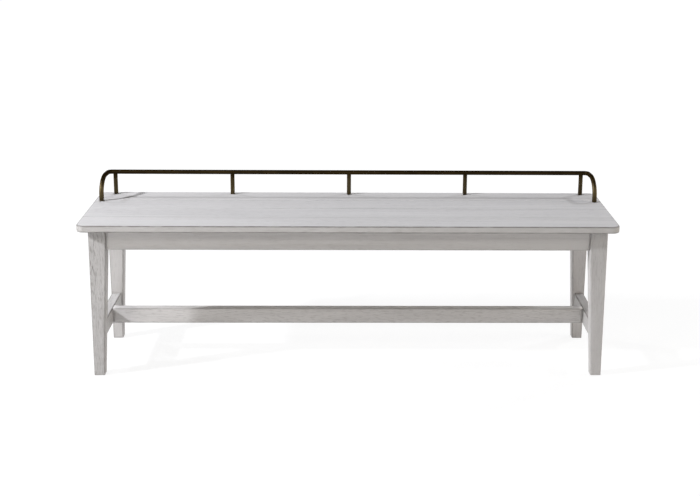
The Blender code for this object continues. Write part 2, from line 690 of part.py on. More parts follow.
def build_gallery(boards, bronze, steel):
    left_path = rail_half_path(-1)
    right_path = rail_half_path(1)
    path = left_path + right_path[::-1]
    rail = make_object("gallery_rail", sweep(path, RAIL_RADIUS, (1, 0, 0)), bronze)
    for side_name, side_x in LEFT_RIGHT:
        name = side_name + "_rail_foot_screw"
        build_rail_screw(name, side_x * RAIL_FOOT_X, RAIL_FOOT_Y, boards, rail, steel)
    smooth(rail)

    post_foot = SEAT_HEIGHT + CLEARANCE
    for number, x in enumerate(post_places(), start=1):
        shape = rod((x, RAIL_AXIS_Y, post_foot), (0, 0, 1), RAIL_AXIS_Z - post_foot, POST_DIAMETER / 2)
        post = make_object(f"gallery_post_{number}", shape, bronze)
        seat_for_rail = [Vector((x - POST_DIAMETER, RAIL_AXIS_Y, RAIL_AXIS_Z)),
                         Vector((x + POST_DIAMETER, RAIL_AXIS_Y, RAIL_AXIS_Z))]
        cut(post, sweep(seat_for_rail, RAIL_RADIUS + CLEARANCE, (0, -1, 0)))
        build_rail_screw(f"gallery_post_screw_{number}", x, RAIL_AXIS_Y, boards, post, steel)
        smooth(post)


def build_bench():
    clear_scene()
    seat_wood = make_material("whitewashed_seat_wood", (0.62, 0.62, 0.60), 0.6, 0.0)
    frame_wood = make_material("whitewashed_frame_wood", (0.55, 0.53, 0.49), 0.6, 0.0)
    inner_wood = make_material("bare_inner_wood", (0.50, 0.40, 0.28), 0.7, 0.0)
    bronze = make_material("dark_bronze", (0.075, 0.060, 0.040), 0.42, 1.0)
    steel = make_material("zinc_plated_steel", (0.55, 0.55, 0.53), 0.4, 1.0)
    plastic = make_material("grey_glide_plastic", (0.25, 0.24, 0.22), 0.5, 0.0)

    boards = build_seat_boards(seat_wood)
    legs = {}
    for end_name, side_y in FRONT_BACK:
        for side_name, side_x in LEFT_RIGHT:
            name = f"{end_name}_{side_name}_leg"
            legs[side_x, side_y] = build_leg(name, side_x, side_y, frame_wood)
    aprons = {}
    for end_name, side_y in FRONT_BACK:
        aprons[side_y] = build_long_apron(end_name + "_apron", side_y, legs, frame_wood)
    side_stretchers = {}
    cross_rails = {}
    for side_name, side_x in LEFT_RIGHT:
        build_side_apron(side_name + "_apron", side_x, legs, frame_wood)
        stretcher_name = side_name + "_side_stretcher"
        side_stretchers[side_x] = build_side_stretcher(stretcher_name, side_x, legs, frame_wood)
        x = side_x * CROSS_RAIL_SPACING / 2
        cross_rails[side_x] = build_cross_rail(side_name + "_cross_rail", x, aprons, inner_wood)
    build_long_stretcher(side_stretchers, frame_wood)
    for (side_x, side_y), leg in legs.items():
        corner = leg.name.removesuffix("_leg")
        build_corner_fixing(corner, side_x, side_y, legs, inner_wood, steel)
        build_glide(corner + "_foot_glide", side_x, side_y, leg, plastic)
    build_seat_screws(cross_rails, boards, steel)
    build_gallery(boards, bronze, steel)


build_bench()
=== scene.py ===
"""Finishes of a whitewashed dining bench with a low bronze gallery rail, with its camera and studio.

Lengths are in metres, as in the frame.
"""

import math

import bmesh
import bpy
from mathutils import Matrix, Vector, noise


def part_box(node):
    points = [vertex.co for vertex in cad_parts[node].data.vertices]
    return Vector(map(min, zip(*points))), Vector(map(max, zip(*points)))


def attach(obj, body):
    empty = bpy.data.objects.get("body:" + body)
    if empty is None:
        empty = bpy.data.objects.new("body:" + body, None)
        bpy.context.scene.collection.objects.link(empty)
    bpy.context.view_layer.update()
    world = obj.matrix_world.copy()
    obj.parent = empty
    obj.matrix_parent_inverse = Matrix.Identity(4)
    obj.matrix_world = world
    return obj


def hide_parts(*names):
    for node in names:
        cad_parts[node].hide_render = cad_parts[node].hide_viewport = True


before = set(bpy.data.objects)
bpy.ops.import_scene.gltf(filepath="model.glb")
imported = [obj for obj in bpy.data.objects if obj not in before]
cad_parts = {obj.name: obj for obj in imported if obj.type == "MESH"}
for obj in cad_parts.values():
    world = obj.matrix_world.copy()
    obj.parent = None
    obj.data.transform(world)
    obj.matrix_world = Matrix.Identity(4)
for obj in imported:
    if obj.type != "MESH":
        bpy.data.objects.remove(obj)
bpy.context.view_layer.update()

# Photograph, and the camera that fits the bench's edges in it
PHOTO_WIDTH = 700
PHOTO_HEIGHT = 496
FOCAL_PIXELS = 1234.4
PRINCIPAL_X = 370
PRINCIPAL_Y = 175
CAMERA_PLACE = Vector((-0.0070, -3.5126, 1.3939))
CAMERA_YAW = math.radians(1.112)
CAMERA_PITCH = math.radians(13.371)
CAMERA_ROLL = math.radians(-0.434)
SENSOR_WIDTH = 36.0

# Lamps: name, place, size, watts, colour
LAMPS = (
    ("key_lamp", (-3.8, -1.35, 2.6), 0.22, 176.0, (0.97, 0.97, 1.0)),
    ("front_left_lamp", (-1.6, -2.6, 2.55), 0.7, 22.0, (1.0, 0.96, 0.87)),
    ("back_left_lamp", (-3.2, 1.8, 3.1), 0.22, 37.0, (0.95, 0.96, 1.0)),
    ("back_right_lamp", (3.2, 1.8, 3.1), 0.22, 39.0, (0.95, 0.97, 1.0)),
    ("right_lamp", (3.6, -0.3, 1.0), 1.5, 43.0, (1.0, 0.92, 0.82)),
)
LAMP_AIM = Vector((0.0, 0.0, 0.4))
HORIZON_COLOUR = (1.0, 0.90, 0.79, 1.0)
HORIZON_STRENGTH = 0.77
ZENITH_COLOUR = (0.60, 0.75, 1.0, 1.0)
ZENITH_STRENGTH = 0.11
HORIZON_CLIMB = 0.15
ZENITH_CLIMB = 0.55

# Stage
FLOOR_HALF_SIZE = 30.0
FLOOR_DROP = 0.0002
FLOOR_BOUNCE = 0.65
FLOOR_TINT = 0.18
FLOOR_GLOW_NEAR = 0.87
FLOOR_GLOW_FAR = 1.0
FLOOR_FADE_START = 1.3
FLOOR_FADE_END = 4.0

# Wood meshes
SLICE_SPACING = 0.012
EDGE_OFFSETS = (0.0008, 0.004, 0.010, 0.022)
SNAP = 0.00002
FLAT_ANGLE = math.radians(0.5)
SMOOTH_ANGLE = math.radians(50)
WEAR_REACH = 0.004
WEAR_DEPTH = 0.0004
WEAR_FREQUENCY = 35.0
WAVE_DEPTH = 0.00012
WAVE_FREQUENCY = 12.0
SEAT_CORNER_RADIUS = 0.022
GRAIN_SHIFT_ALONG = 3.1
GRAIN_SHIFT_ACROSS = 0.37

# Gallery rail and posts
RAIL_RADIUS = 0.00675
RAIL_RETURN_SPLAY = 0.007
RAIL_FOOT_BEND_RADIUS = 0.051
RAIL_CORNER_BEND_RADIUS = 0.012
SADDLE_GAP = 0.0003
SADDLE_RINGS = (1.0, 0.7, 0.4, 0.1)
END_EASE = 0.0004
BORE_RADIUS = 0.0028
BORE_DEPTH = 0.0166
TURNED_SIDES = 40
BEND_STEPS = 24
RUN_SPACING = 0.025

# Fasteners and glides
RAIL_SCREW = {"head_height": 0.0035, "shank_radius": 0.0025, "tip_length": 0.0025}
SEAT_SCREW = {"head_height": 0.003, "shank_radius": 0.00225, "tip_length": 0.005}
HEAD_STEPS = 6
HEAD_FIRST_STEP = 0.25
HEAD_CROWN_SHARE = 0.6
TIP_SHARE = 0.2
RECESS_DEPTH = 0.0016
RECESS_LENGTH_SHARE = 0.55
RECESS_WIDTH_SHARE = 0.13
RECESS_TAPER = 0.6
BOLT_TIP_SHARE = 0.5
BOLT_HOLE_RADIUS = 0.0033
THREAD_PITCH = 0.001
THREAD_DEPTH = 0.0006
THREAD_LENGTH = 0.016
THREAD_STEPS = 6
NUT_CHAMFER = math.radians(30)
NUT_FACE_SHARE = 0.95
GLIDE_THICKNESS = 0.0015
GLIDE_EASE = 0.0006
GLIDE_CENTRE_SHARE = 0.125
GLIDE_NAIL_RADIUS = 0.002

# Colours
WHITE = (1.0, 1.0, 1.0, 1.0)
GLAZE = (0.13, 0.12, 0.11, 1.0)
PAINT = (0.655, 0.645, 0.64, 1.0)
SEAT_PAINT = (0.70, 0.693, 0.697, 1.0)
# Rim and end grain of the seat: a darker wash that is partly painted shade on its upright faces
RIM_WASH_AND_SHADE = (0.53, 0.52, 0.51, 1.0)
END_GRAIN_WASH_AND_SHADE = (0.40, 0.39, 0.38, 1.0)
BARE_PALE = (0.56, 0.44, 0.30, 1.0)
BARE_DARK = (0.42, 0.31, 0.20, 1.0)
BARE_PORE = (0.25, 0.17, 0.10, 1.0)
BRONZE_DARK = (0.066, 0.050, 0.025, 1.0)
BRONZE_BRIGHT = (0.110, 0.085, 0.043, 1.0)
BRONZE_RIM = (0.48, 0.42, 0.33, 1.0)
# Painted reflection: the rail's top run is painted darker than the posts and feet
BRONZE_PAINTED_CROWN = (0.041, 0.027, 0.010, 1.0)
ZINC_DARK = (0.42, 0.42, 0.41, 1.0)
ZINC_BRIGHT = (0.60, 0.60, 0.58, 1.0)
NYLON_DARK = (0.20, 0.19, 0.18, 1.0)
NYLON_PALE = (0.28, 0.27, 0.25, 1.0)

# Noise cells to the metre, along, across and through the grain
BROAD_CELLS = (1.6, 14.0, 14.0)
STREAK_CELLS = (2.5, 90.0, 90.0)
FLECK_CELLS = (42.0, 300.0, 300.0)
PORE_CELLS = (70.0, 1500.0, 1500.0)
PATCH_CELLS = (22.0, 70.0, 70.0)
BREAK_CELLS = (30.0, 60.0, 60.0)
JOINT_CELLS = (4.0, 9.0, 9.0)
RING_CELLS = (2.0, 70.0, 70.0)
BARE_PORE_CELLS = (60.0, 1200.0, 1200.0)
NYLON_CELLS = (900.0, 900.0, 900.0)
SPECKS_TO_CLOUD = 12

# Noise values between which each mark comes in
BROAD_RANGE = (0.35, 0.70)
STREAK_RANGE = (0.50, 0.68)
FLECK_RANGE = (0.50, 0.66)
FLECKED_RANGE = (0.25, 0.50)
PORE_RANGE = (0.56, 0.66)
PATCH_RANGE = (0.30, 0.70)
BREAK_RANGE = (0.30, 0.60)
JOINT_RANGE = (0.40, 0.60)
RING_RANGE = (0.35, 0.70)
BARE_PORE_RANGE = (0.58, 0.70)
CLOUD_RANGE = (0.30, 0.70)
SPECK_RANGE = (0.60, 0.72)
NYLON_RANGE = (0.35, 0.65)
ROUGHNESS_RANGE = (0.30, 0.70)

# Heights, distances and facings between which a finish, a painted shade or a painted reflection changes
# Painted shade: heights between which a front leg darkens towards its top, under the seat
LEG_PAINTED_SHADE_SPAN = (0.26, 0.42)
FLECK_SPAN = (0.12, 0.33)
# Heights over which the rail's painted reflection darkens
PAINTED_CROWN_SPAN = (0.495, 0.522)
EDGE_REACH = (0.0016, 0.0044)
JOINT_REACH = (0.0010, 0.0022)
# Facings that take the seat's darker rim and end grain, partly painted shade
RIM_FACING = (0.5, 0.9)
END_GRAIN_FACING = (0.35, 0.85)

# Strengths of the marks and of the painted shade, roughness and relief
SHADE = 0.80
# Share of painted shade at the top of a front leg
LEG_PAINTED_SHADE = 0.5
FLECK_LEAST = 0.35
PORE_GLAZE = 0.5
PATCH_LEAST = 0.72
BREAK_LEAST = 0.65
JOINT_GLAZE = 0.42
JOINT_LEAST = 0.30
BARE_PORE_STRENGTH = 0.5
SPECK_STRENGTH = 0.4
PAINTED_CROWN_DEPTH = 0.6
WOOD_ROUGHNESS = (0.50, 0.66)
BARE_ROUGHNESS = (0.60, 0.75)
NYLON_ROUGHNESS = (0.42, 0.58)
METAL_ROUGHNESS_SWING = 0.05
LACQUER_ROUGHNESS = 0.28
PORE_RELIEF = 0.25
WOOD_BUMP = {"strength": 0.25, "distance": 0.0006}
BARE_BUMP = {"strength": 0.3, "distance": 0.0005}
METAL_BUMP = {"strength": 0.06, "distance": 0.0003}

# Numbers of a mix node's colour sockets
MIX_FIRST_COLOUR = 6
MIX_SECOND_COLOUR = 7
MIX_RESULT_COLOUR = 2

# Axes and names
X_AXIS, Y_AXIS, Z_AXIS = 0, 1, 2
RIGHT = Vector((1, 0, 0))
BACK = Vector((0, 1, 0))
UP = Vector((0, 0, 1))
SIDES = {"left": -1, "right": 1}
ENDS = {"front": -1, "back": 1}
CORNERS = {f"{end}_{side}": Vector((SIDES[side], ENDS[end], 0)) for end in ENDS for side in SIDES}
BOARDS = tuple(f"seat_board_{number}" for number in range(1, 5))
POSTS = tuple(f"gallery_post_{number}" for number in range(1, 6))


# Materials

def new_material(name):
    material = bpy.data.materials.new(name)
    material.use_nodes = True
    tree = material.node_tree
    return material, tree, tree.nodes["Principled BSDF"]


def add_node(tree, kind, inputs=None, **settings):
    """Add a shader node, set its options, and link or fill its inputs."""
    node = tree.nodes.new(kind)
    for key, value in settings.items():
        setattr(node, key, value)
    for socket, value in (inputs or {}).items():
        fill(tree, node.inputs[socket], value)
    return node


def fill(tree, socket, value):
    if isinstance(value, bpy.types.NodeSocket):
        tree.links.new(value, socket)
    else:
        socket.default_value = value


def attribute(tree, name, output):
    return add_node(tree, "ShaderNodeAttribute", attribute_name=name).outputs[output]


def surface(tree, output):
    """Place or facing of the point that is shaded, in the bench's frame."""
    return add_node(tree, "ShaderNodeTexCoord").outputs[output]


def split(tree, vector):
    return add_node(tree, "ShaderNodeSeparateXYZ", {0: vector}).outputs


def stretched_noise(tree, vector, cells, detail=3.0, roughness=0.55, distortion=0.0):
    """Noise whose cells have their own size along, across and through the grain."""
    scaled = add_node(tree, "ShaderNodeVectorMath", {0: vector, 1: cells}, operation="MULTIPLY")
    texture = add_node(tree, "ShaderNodeTexNoise",
                       {"Vector": scaled.outputs[0], "Scale": 1.0, "Detail": detail,
                        "Roughness": roughness, "Distortion": distortion})
    return texture.outputs["Fac"]


def ramp(tree, value, low, high, to_low=0.0, to_high=1.0):
    node = add_node(tree, "ShaderNodeMapRange",
                    {"Value": value, "From Min": low, "From Max": high, "To Min": to_low, "To Max": to_high},
                    interpolation_type="SMOOTHSTEP")
    return node.outputs["Result"]


def maths(tree, operation, first, second=0.0):
    return add_node(tree, "ShaderNodeMath", {0: first, 1: second}, operation=operation).outputs[0]


def blend_colour(tree, factor, first, second):
    inputs = {"Factor": factor, MIX_FIRST_COLOUR: first, MIX_SECOND_COLOUR: second}
    return add_node(tree, "ShaderNodeMix", inputs, data_type="RGBA").outputs[MIX_RESULT_COLOUR]


def scaled_colour(colour, share):
    return tuple(share * channel for channel in colour[:3]) + (1.0,)


def add_bump(tree, shader, height, strength, distance):
    bump = add_node(tree, "ShaderNodeBump", {"Height": height, "Strength": strength, "Distance": distance})
    tree.links.new(bump.outputs["Normal"], shader.inputs["Normal"])


def washed_and_shaded_rim(tree, grain, colour):
    """The seat's colour, darker on its rim and darkest on its end grain: partly a patchy wash, partly painted
    shade.
    """
    facing = split(tree, surface(tree, "Normal"))
    upright = ramp(tree, maths(tree, "ABSOLUTE", facing["Z"]), *RIM_FACING, 1.0, 0.0)
    patches = stretched_noise(tree, grain, PATCH_CELLS)
    rim_and_shade_share = maths(tree, "MULTIPLY", upright, ramp(tree, patches, *PATCH_RANGE, PATCH_LEAST, 1.0))
    # Painted shade, in part: the upright rim and the end grain are darker than the top
    colour = blend_colour(tree, rim_and_shade_share, colour, RIM_WASH_AND_SHADE)
    end_grain_and_shade = ramp(tree, maths(tree, "ABSOLUTE", facing["X"]), *END_GRAIN_FACING)
    return blend_colour(tree, end_grain_and_shade, colour, END_GRAIN_WASH_AND_SHADE)


def edge_glaze(tree, grain, strength):
    """Share of glaze close to the edges, weaker where it is rubbed off."""
    near = ramp(tree, attribute(tree, "edge", "Fac"), *EDGE_REACH, strength, 0.0)
    breaks = stretched_noise(tree, grain, BREAK_CELLS)
    return maths(tree, "MULTIPLY", near, ramp(tree, breaks, *BREAK_RANGE, BREAK_LEAST, 1.0))


def joint_glaze(tree, grain):
    """Share of glaze in the joints between the seat's boards, stronger along some lengths."""
    near = ramp(tree, attribute(tree, "joint", "Fac"), *JOINT_REACH, JOINT_GLAZE, 0.0)
    lengths = stretched_noise(tree, grain, JOINT_CELLS, detail=2.0)
    return maths(tree, "MULTIPLY", near, ramp(tree, lengths, *JOINT_RANGE, JOINT_LEAST, 1.0))


def whitewashed_wood(name, paint, streak, fleck, edge, shade_span=None, is_seat=False):
    """Limewashed open-grained wood, with dark glaze in the grain, along the edges and in the seat's joints.

    Streak, fleck and edge are the strengths of the streaks, of the glaze in the grain and of the glaze on
    the edges. The painted shade span is the two heights between which a painted shade darkens a leg towards
    its top.
    """
    material, tree, shader = new_material(name)
    grain = attribute(tree, "grain", "Vector")
    broad = stretched_noise(tree, grain, BROAD_CELLS, detail=2.0)
    streaks = stretched_noise(tree, grain, STREAK_CELLS, detail=4.0, roughness=0.65, distortion=0.4)
    flecks = stretched_noise(tree, grain, FLECK_CELLS, detail=2.0, distortion=0.3)
    pores = stretched_noise(tree, grain, PORE_CELLS, detail=1.0)

    shade = scaled_colour(paint, SHADE)
    colour = blend_colour(tree, ramp(tree, broad, *BROAD_RANGE, 0.0, streak), paint, shade)
    colour = blend_colour(tree, ramp(tree, streaks, *STREAK_RANGE, 0.0, streak), colour, shade)
    if is_seat:
        colour = washed_and_shaded_rim(tree, grain, colour)

    flecked = ramp(tree, broad, *FLECKED_RANGE)
    fleck_share = maths(tree, "MULTIPLY", ramp(tree, flecks, *FLECK_RANGE, 0.0, fleck), flecked)
    # Painted shade: a front leg darkens towards its top, under the seat, and its flecks of glaze thicken
    # there
    if shade_span:
        height = split(tree, surface(tree, "Object"))["Z"]
        fleck_share = maths(tree, "MULTIPLY", fleck_share, ramp(tree, height, *FLECK_SPAN, FLECK_LEAST, 1.0))
        colour = blend_colour(tree, ramp(tree, height, *shade_span, 0.0, LEG_PAINTED_SHADE), colour, shade)
    colour = blend_colour(tree, fleck_share, colour, GLAZE)
    pore_share = ramp(tree, pores, *PORE_RANGE)
    colour = blend_colour(tree, maths(tree, "MULTIPLY", pore_share, PORE_GLAZE * fleck), colour, GLAZE)
    colour = blend_colour(tree, edge_glaze(tree, grain, edge), colour, GLAZE)
    if is_seat:
        colour = blend_colour(tree, joint_glaze(tree, grain), colour, GLAZE)
    tree.links.new(colour, shader.inputs["Base Color"])

    tree.links.new(ramp(tree, streaks, *ROUGHNESS_RANGE, *WOOD_ROUGHNESS), shader.inputs["Roughness"])
    relief = maths(tree, "SUBTRACT", streaks, maths(tree, "MULTIPLY", pore_share, PORE_RELIEF))
    add_bump(tree, shader, relief, **WOOD_BUMP)
    return material


def frame_wood(piece, tone_and_shade, **strengths):
    """Whitewashed wood of the frame below the seat, in a tone of its own that is partly painted light and
    shade.
    """
    return whitewashed_wood(piece + "_whitewash", scaled_colour(PAINT, tone_and_shade), **strengths)


def bare_wood(name):
    material, tree, shader = new_material(name)
    grain = attribute(tree, "grain", "Vector")
    rings = stretched_noise(tree, grain, RING_CELLS, detail=4.0, roughness=0.6, distortion=0.5)
    pores = stretched_noise(tree, grain, BARE_PORE_CELLS, detail=1.0)
    pore_share = ramp(tree, pores, *BARE_PORE_RANGE, 0.0, BARE_PORE_STRENGTH)
    colour = blend_colour(tree, ramp(tree, rings, *RING_RANGE), BARE_PALE, BARE_DARK)
    colour = blend_colour(tree, pore_share, colour, BARE_PORE)
    tree.links.new(colour, shader.inputs["Base Color"])
    tree.links.new(ramp(tree, rings, *ROUGHNESS_RANGE, *BARE_ROUGHNESS), shader.inputs["Roughness"])
    add_bump(tree, shader, rings, **BARE_BUMP)
    return material


def worn_metal(name, dark, bright, rim, roughness, cells, lacquer=0.0, painted_crown=None):
    """Metal with cloudy patina, fine specks and a little relief.

    The rim is the colour of its reflections at grazing angles, and cells counts its clouds to the metre. The
    lacquer is its share of clear coat, and the painted crown is a painted reflection: the rail's top run made
    darker than its posts.
    """
    material, tree, shader = new_material(name)
    place = surface(tree, "Object")
    clouds = stretched_noise(tree, place, (cells,) * 3, detail=4.0, roughness=0.5)
    specks = stretched_noise(tree, place, (SPECKS_TO_CLOUD * cells,) * 3, detail=2.0)
    cloudy = ramp(tree, clouds, *CLOUD_RANGE)
    colour = blend_colour(tree, cloudy, dark, bright)
    colour = blend_colour(tree, ramp(tree, specks, *SPECK_RANGE, 0.0, SPECK_STRENGTH), colour, dark)
    # Painted reflection: the rail is painted darker above the crown span than the posts and feet below
    if painted_crown:
        painted_crown_colour = blend_colour(tree, cloudy, scaled_colour(painted_crown, PAINTED_CROWN_DEPTH), painted_crown)
        colour = blend_colour(tree, ramp(tree, split(tree, place)["Z"], *PAINTED_CROWN_SPAN), colour, painted_crown_colour)
    tree.links.new(colour, shader.inputs["Base Color"])
    shader.inputs["Metallic"].default_value = 1.0
    shader.inputs["Specular Tint"].default_value = rim
    shader.inputs["Coat Weight"].default_value = lacquer
    shader.inputs["Coat Roughness"].default_value = LACQUER_ROUGHNESS
    dull = roughness + METAL_ROUGHNESS_SWING
    polished = roughness - METAL_ROUGHNESS_SWING
    tree.links.new(ramp(tree, clouds, *ROUGHNESS_RANGE, dull, polished), shader.inputs["Roughness"])
    add_bump(tree, shader, specks, **METAL_BUMP)
    return material


def moulded_plastic(name, dark, pale):
    material, tree, shader = new_material(name)
    specks = stretched_noise(tree, surface(tree, "Object"), NYLON_CELLS, detail=2.0)
    colour = blend_colour(tree, ramp(tree, specks, *NYLON_RANGE), dark, pale)
    tree.links.new(colour, shader.inputs["Base Color"])
    tree.links.new(ramp(tree, specks, *ROUGHNESS_RANGE, *NYLON_ROUGHNESS), shader.inputs["Roughness"])
    return material


SEAT_WOOD = whitewashed_wood("seat_whitewash", SEAT_PAINT, streak=0.35, fleck=0.12, edge=0.82, is_seat=True)
APRON_WOOD = frame_wood("apron", tone_and_shade=0.99, streak=0.28, fleck=0.07, edge=0.25)
STRETCHER_WOOD = frame_wood("stretcher", tone_and_shade=1.09, streak=0.60, fleck=0.22, edge=0.42)
# Painted shade: the side stretchers are one wood in two tones, each darkened for the light it gets
SIDE_STRETCHER_SHADED_WOODS = {
    "left": frame_wood("left_stretcher", tone_and_shade=0.91, streak=0.60, fleck=0.22, edge=0.85),
    "right": frame_wood("right_stretcher", tone_and_shade=0.76, streak=0.60, fleck=0.22, edge=0.70),
}
# Painted light and shade: the legs' tones differ partly to match how brightly each leg is lit
LEG_SHADED_WOODS = {
    "front_left": frame_wood("front_left_leg", tone_and_shade=0.855, streak=0.45, fleck=0.68, edge=0.35,
                             shade_span=LEG_PAINTED_SHADE_SPAN),
    "front_right": frame_wood("front_right_leg", tone_and_shade=0.93, streak=0.40, fleck=0.18, edge=0.05,
                              shade_span=LEG_PAINTED_SHADE_SPAN),
    "back_left": frame_wood("back_left_leg", tone_and_shade=0.92, streak=0.35, fleck=0.12, edge=0.40),
    "back_right": frame_wood("back_right_leg", tone_and_shade=1.03, streak=0.35, fleck=0.12, edge=0.40),
}
BARE_WOOD = bare_wood("inner_wood")
BRONZE = worn_metal("bronze_patina", BRONZE_DARK, BRONZE_BRIGHT, BRONZE_RIM, roughness=0.58, cells=20.0,
                    lacquer=0.03, painted_crown=BRONZE_PAINTED_CROWN)
ZINC = worn_metal("zinc_plate", ZINC_DARK, ZINC_BRIGHT, WHITE, roughness=0.38, cells=400.0)
GLIDE_PLASTIC = moulded_plastic("glide_nylon", NYLON_DARK, NYLON_PALE)


# Pieces that stand for nodes

def add_piece(node, mesh, material):
    """Let a mesh stand for a node, on the bench's one body."""
    mesh.shade_smooth()
    mesh.set_sharp_from_angle(angle=SMOOTH_ANGLE)
    mesh.materials.append(material)
    piece = bpy.data.objects.new(node + "_finish", mesh)
    bpy.context.scene.collection.objects.link(piece)
    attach(piece, "root")
    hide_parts(node)


def mesh_from(shape, name):
    mesh = bpy.data.meshes.new(name)
    shape.to_mesh(mesh)
    shape.free()
    return mesh


# Wood, cut from copies of the frame's solids

def slice_along(shape, axis, places):
    """Cut a mesh at planes across one axis, so that it has points there."""
    normal = Vector((0, 0, 0))
    normal[axis] = 1
    for place in places:
        geometry = shape.verts[:] + shape.edges[:] + shape.faces[:]
        bmesh.ops.bisect_plane(shape, geom=geometry, dist=SNAP, plane_co=normal * place, plane_no=normal)


def slice_places(low, high):
    count = max(2, round((high - low) / SLICE_SPACING))
    return [low + (high - low) * step / count for step in range(1, count)]


def edge_places(low, high):
    """Places close to both ends of a span, where the edges wear."""
    places = [(low + high) / 2]
    for offset in EDGE_OFFSETS:
        if offset < (high - low) / 2:
            places += [low + offset, high - offset]
    return places


def refined_shape(node, grain_axis):
    """A copy of a node's mesh with points along its length and close to its edges."""
    shape = bmesh.new()
    shape.from_mesh(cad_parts[node].data)
    bmesh.ops.remove_doubles(shape, verts=shape.verts, dist=SNAP)
    bmesh.ops.dissolve_limit(shape, angle_limit=FLAT_ANGLE, verts=shape.verts, edges=shape.edges)
    low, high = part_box(node)
    for axis in (X_AXIS, Y_AXIS, Z_AXIS):
        places = edge_places(low[axis], high[axis])
        if axis == grain_axis:
            places += slice_places(low[axis], high[axis])
        slice_along(shape, axis, sorted(places))
    return shape


def grain_coordinates(point, grain_axis, seed):
    """Along, across and through the grain, moved so that each piece has its own figure."""
    order = {X_AXIS: (0, 1, 2), Y_AXIS: (1, 0, 2), Z_AXIS: (2, 0, 1)}[grain_axis]
    along, across, through = (point[axis] for axis in order)
    return [along + GRAIN_SHIFT_ALONG * seed, across + GRAIN_SHIFT_ACROSS * seed, through]


def unit_noise(place):
    """Noise from 0 to 1."""
    return 0.5 + 0.5 * noise.noise(place)


def worn_point(vert, edge_gap, seed):
    """A point moved inwards by the wear at the edges and by the faint waves of a hand-sanded face."""
    close = max(0.0, 1.0 - edge_gap / WEAR_REACH)
    dent = unit_noise(vert.co * WEAR_FREQUENCY + RIGHT * seed)
    wave = unit_noise(vert.co * WAVE_FREQUENCY + BACK * seed)
    return vert.co - vert.normal * (WEAR_DEPTH * close * dent + WAVE_DEPTH * wave)


def finish_wood(node, grain_axis, edge_distance, material, seed, joints=()):
    """Wear a refined copy of a node, and give it the values that its material reads."""
    shape = refined_shape(node, grain_axis)
    shape.normal_update()
    edges = [edge_distance(vert.co) for vert in shape.verts]
    grains = []
    for vert in shape.verts:
        grains += grain_coordinates(vert.co, grain_axis, seed)
    joint_gaps = []
    if joints:
        joint_gaps = [min(abs(vert.co.y - joint) for joint in joints) for vert in shape.verts]
    places = [worn_point(vert, edge_gap, seed) for vert, edge_gap in zip(shape.verts, edges)]
    for vert, place in zip(shape.verts, places):
        vert.co = place

    mesh = mesh_from(shape, node + "_finish")
    mesh.attributes.new("edge", "FLOAT", "POINT").data.foreach_set("value", edges)
    mesh.attributes.new("grain", "FLOAT_VECTOR", "POINT").data.foreach_set("vector", grains)
    if joints:
        mesh.attributes.new("joint", "FLOAT", "POINT").data.foreach_set("value", joint_gaps)
    add_piece(node, mesh, material)


def box_edge_distance(node):
    """Distance from the nearest edge of a node's box, for a point on its surface.

    The smallest gap belongs to the face that the point lies on, and the next one leads to the nearest edge.
    """
    low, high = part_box(node)

    def distance(point):
        gaps = sorted(min(point[axis] - low[axis], high[axis] - point[axis]) for axis in range(3))
        return max(gaps[1], 0.0)
    return distance


def seat_edge_distance():
    """Distance from the seat's rim, on a slab with rounded plan corners."""
    lows, highs = zip(*(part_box(board) for board in BOARDS))
    half_length = max(high.x for high in highs)
    half_depth = max(high.y for high in highs)
    top = max(high.z for high in highs)
    bottom = min(low.z for low in lows)

    def distance(point):
        inner_x = abs(point.x) - (half_length - SEAT_CORNER_RADIUS)
        inner_y = abs(point.y) - (half_depth - SEAT_CORNER_RADIUS)
        outside = math.hypot(max(inner_x, 0.0), max(inner_y, 0.0))
        rim_gap = SEAT_CORNER_RADIUS - outside - min(max(inner_x, inner_y), 0.0)
        face_gap = min(point.z - bottom, top - point.z)
        return max(rim_gap, face_gap, 0.0)
    return distance


def leg_edge_distance(node):
    """Distance from a tapered leg's nearest edge, with its two inner faces sloping below the aprons."""
    low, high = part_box(node)
    taper_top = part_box("front_apron")[0].z
    foot = [vert.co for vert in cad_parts[node].data.vertices if vert.co.z < low.z + SNAP]
    side_x = 1 if low.x > 0 else -1
    side_y = 1 if low.y > 0 else -1
    foot_width = max(point.x for point in foot) - min(point.x for point in foot)
    top_width = high.x - low.x
    outer_x = max(abs(low.x), abs(high.x))
    outer_y = max(abs(low.y), abs(high.y))

    def distance(point):
        share = min(1.0, (point.z - low.z) / (taper_top - low.z))
        width = foot_width + (top_width - foot_width) * share
        across_x = outer_x - side_x * point.x
        across_y = outer_y - side_y * point.y
        gaps = sorted((min(across_x, width - across_x), min(across_y, width - across_y),
                       min(point.z - low.z, high.z - point.z)))
        return max(gaps[1], 0.0)
    return distance


def build_wood():
    joints = [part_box(board)[0].y for board in BOARDS[1:]]
    seat_distance = seat_edge_distance()
    seed = 1
    for board in BOARDS:
        finish_wood(board, X_AXIS, seat_distance, SEAT_WOOD, seed, joints)
        seed += 1
    for corner in CORNERS:
        leg = corner + "_leg"
        finish_wood(leg, Z_AXIS, leg_edge_distance(leg), LEG_SHADED_WOODS[corner], seed)
        seed += 1
    members = [(f"{end}_apron", X_AXIS, APRON_WOOD) for end in ENDS]
    members += [(f"{side}_apron", Y_AXIS, APRON_WOOD) for side in SIDES]
    members += [(f"{side}_side_stretcher", Y_AXIS, SIDE_STRETCHER_SHADED_WOODS[side]) for side in SIDES]
    members += [("long_stretcher", X_AXIS, STRETCHER_WOOD)]
    for node, axis, material in members:
        finish_wood(node, axis, box_edge_distance(node), material, seed)
        seed += 1
    inner = [(f"{side}_cross_rail", Y_AXIS) for side in SIDES]
    inner += [(f"{corner}_corner_block", X_AXIS) for corner in CORNERS]
    for node, axis in inner:
        finish_wood(node, axis, box_edge_distance(node), BARE_WOOD, seed)
        seed += 1


# Round pieces

